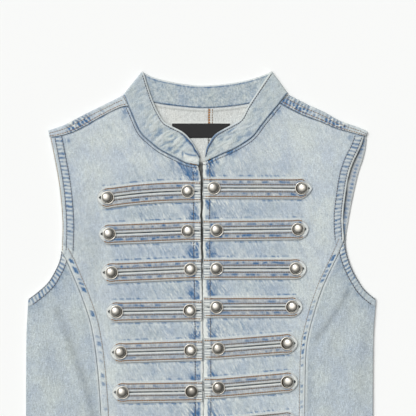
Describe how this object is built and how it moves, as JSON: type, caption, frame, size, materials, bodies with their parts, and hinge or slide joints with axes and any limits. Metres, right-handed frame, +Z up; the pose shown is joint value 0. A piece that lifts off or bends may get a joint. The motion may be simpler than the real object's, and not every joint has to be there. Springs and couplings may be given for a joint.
{
  "type": "denim vest",
  "caption": "Sleeveless light-wash denim vest with a stand collar, princess seams and rows of looped denim frogs with domed metal buttons, laid flat front up.",
  "frame": {"origin": "centre of the box of the laid vest, on the surface that it lies on", "axes": "+X to the right of the laid vest as seen from above, +Y from the hem to the collar, +Z up off the surface"},
  "size_m": [0.4424, 0.494, 0.0125],
  "materials": {
    "denim_front": "light stone-washed cotton denim, matt",
    "denim_side": "light stone-washed cotton denim, matt",
    "denim_inside": "pale inside of washed denim, matt",
    "denim_collar": "light stone-washed cotton denim, matt",
    "denim_strap": "folded washed denim strip with faded edges, matt",
    "label": "black woven tape, blank",
    "button_metal": "antique silver, satin"
  },
  "bodies": {
    "root": {"back_left": "denim_inside", "back_right": "denim_inside", "front_left_centre": "denim_front", "front_right_centre": "denim_front", "front_left_side": "denim_side", "front_right_side": "denim_side", "collar": "denim_collar", "label": "label", "frog_left_1": "denim_strap", "frog_left_2": "denim_strap", "frog_left_3": "denim_strap", "frog_left_4": "denim_strap", "frog_left_5": "denim_strap", "frog_left_6": "denim_strap", "frog_left_7": "denim_strap", "frog_right_1": "denim_strap", "frog_right_2": "denim_strap", "frog_right_3": "denim_strap", "frog_right_4": "denim_strap", "frog_right_5": "denim_strap", "frog_right_6": "denim_strap", "frog_right_7": "denim_strap", "button_left_outer_1": "button_metal", "button_left_outer_2": "button_metal", "button_left_outer_3": "button_metal", "button_left_outer_4": "button_metal", "button_left_outer_5": "button_metal", "button_left_outer_6": "button_metal", "button_left_outer_7": "button_metal", "button_left_inner_1": "button_metal", "button_left_inner_2": "button_metal", "button_left_inner_3": "button_metal", "button_left_inner_4": "button_metal", "button_left_inner_5": "button_metal", "button_left_inner_6": "button_metal", "button_left_inner_7": "button_metal", "button_right_outer_1": "button_metal", "button_right_outer_2": "button_metal", "button_right_outer_3": "button_metal", "button_right_outer_4": "button_metal", "button_right_outer_5": "button_metal", "button_right_outer_6": "button_metal", "button_right_outer_7": "button_metal", "button_right_inner_1": "button_metal", "button_right_inner_2": "button_metal", "button_right_inner_3": "button_metal", "button_right_inner_4": "button_metal", "button_right_inner_5": "button_metal", "button_right_inner_6": "button_metal", "button_right_inner_7": "button_metal"}
  },
  "joints": []
}
